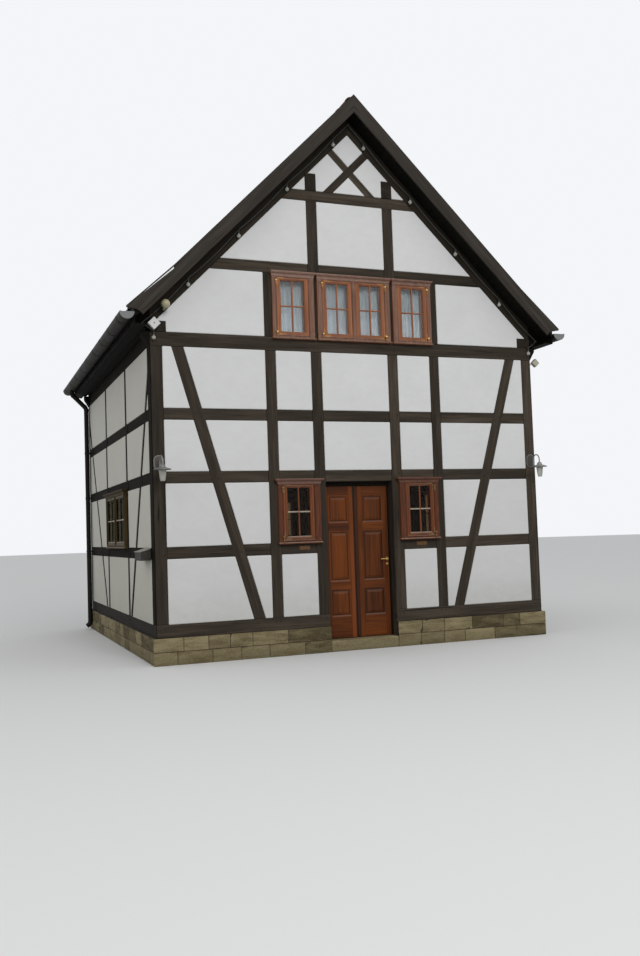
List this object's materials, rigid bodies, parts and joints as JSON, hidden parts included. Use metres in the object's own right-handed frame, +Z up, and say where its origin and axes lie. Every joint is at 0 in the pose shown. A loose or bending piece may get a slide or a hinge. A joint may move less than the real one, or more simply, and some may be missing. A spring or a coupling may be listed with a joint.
{
  "type": "half timbered house",
  "caption": "Half timbered gabled house with white infill, dark timber frame, panelled door and small casement windows.",
  "frame": {"origin": "on the ground under the centre of the house, which is the bottom centre of its bounding box", "axes": "front gable with the door faces -Y, +X to the right seen from the front, +Z up"},
  "size_m": [7.118, 7.1079, 8.282],
  "materials": {
    "barge_wood": "dark stained board",
    "cable_rubber": "dark sheathed cable with moulded sockets",
    "clay_tiles": "red clay pantiles",
    "curtain_cloth": "thin pale curtain cloth",
    "door_wood": "reddish brown varnished wood",
    "floor_boards": "planed boards, oiled",
    "floor_stone": "stone flags",
    "lamp_glass": "clear bulbs and frosted lamp glasses",
    "lamp_metal": "galvanised, weathered",
    "lamp_plastic": "cream housing",
    "letterbox_metal": "dark grey-brown coated sheet",
    "lever_brass": "satin brass",
    "plaster": "limewashed lime plaster on brick infill",
    "rainwater_metal": "dark brown coated sheet",
    "roof_boards": "dark stained boards",
    "sandstone": "coursed yellow-grey sandstone, split face",
    "timber": "dark brown stained oak, weathered",
    "window_glass": "clear float glass",
    "window_wood": "brown glazed softwood"
  },
  "bodies": {
    "house": {"plinth_front_left": "sandstone", "plinth_front_right": "sandstone", "plinth_sides": "sandstone", "plinth_rear": "sandstone", "door_step": "sandstone", "ground_floor": "floor_stone", "front_frame_left": "timber", "front_frame_right": "timber", "front_frame_over_door": "timber", "front_tie_beam": "timber", "front_gable_frame": "timber", "front_infill": "plaster", "front_gable_infill": "plaster", "rear_frame": "timber", "rear_gable_frame": "timber", "rear_infill": "plaster", "left_frame": "timber", "left_infill": "plaster", "right_frame": "timber", "right_infill": "plaster", "attic_floor": "floor_boards", "attic_beams": "timber", "purlins": "timber", "rafters_left": "timber", "rafters_right": "timber", "roof_deck_left": "roof_boards", "roof_deck_right": "roof_boards", "tiles_left": "clay_tiles", "tiles_right": "clay_tiles", "ridge_tiles": "clay_tiles", "bargeboards_front": "barge_wood", "bargeboards_rear": "barge_wood", "gutter_left": "rainwater_metal", "gutter_right": "rainwater_metal", "downpipes": "rainwater_metal", "front_windows": "window_wood", "gable_windows": "window_wood", "side_windows": "window_wood", "rear_windows": "window_wood", "window_glass": "window_glass", "curtain_rods": "lever_brass", "curtains": "curtain_cloth", "door_frame": "timber", "wall_lamps": "lamp_metal", "lamp_glasses": "lamp_glass", "eaves_lights": "lamp_plastic", "light_cable": "cable_rubber", "letterbox": "letterbox_metal"},
    "door": {"door_leaf": "door_wood", "door_lever": "lever_brass"}
  },
  "joints": [
    {"name": "door_hinge", "type": "hinge", "parent": "house", "child": "door", "pos_m": [-0.518, -2.99, 1.3], "axis": [0, 0, 1], "range_deg": [0, 95]}
  ]
}
